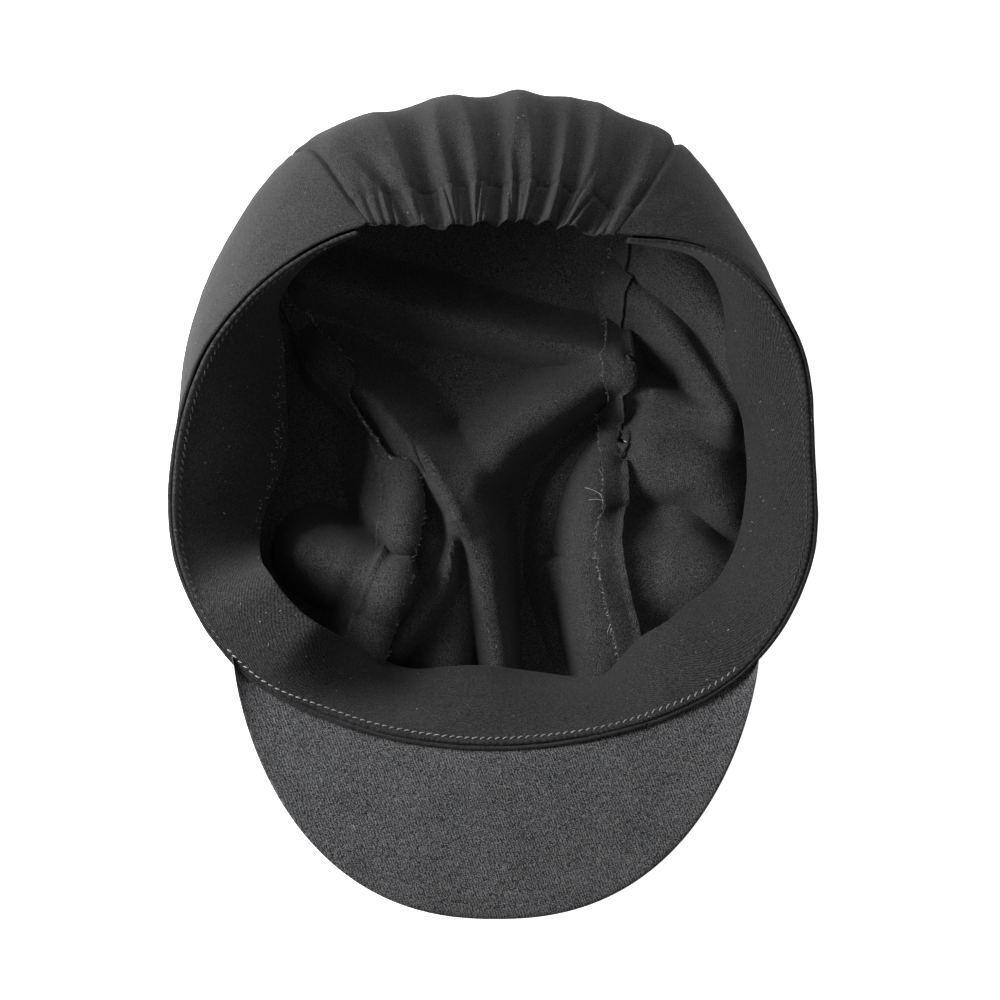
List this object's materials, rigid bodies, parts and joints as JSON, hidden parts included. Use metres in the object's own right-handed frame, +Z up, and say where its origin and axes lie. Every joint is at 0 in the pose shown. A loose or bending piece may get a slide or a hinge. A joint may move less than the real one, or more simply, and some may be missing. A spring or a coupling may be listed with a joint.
{
  "type": "cycling cap",
  "caption": "Soft cotton cycling cap with a three-panel crown, sweatband, gathered elastic back and short rounded peak, laid on its crown.",
  "frame": {"origin": "middle of the crown's flattened top, on the surface that the cap lies on", "axes": "+Z up through the open rim, -Y forwards along the peak, +X to the right as seen from above with the peak towards the viewer"},
  "size_m": [0.1948, 0.2529, 0.0941],
  "materials": {
    "cotton_twill": "matt charcoal cotton twill",
    "peak_twill": "matt charcoal cotton twill, stretched smooth over the stiffened peak"
  },
  "bodies": {
    "root": {"crown_centre_panel": "cotton_twill", "crown_left_panel": "cotton_twill", "crown_right_panel": "cotton_twill", "elastic_casing": "cotton_twill", "band": "cotton_twill", "left_seam_allowance": "cotton_twill", "right_seam_allowance": "cotton_twill", "peak": "peak_twill"}
  },
  "joints": []
}
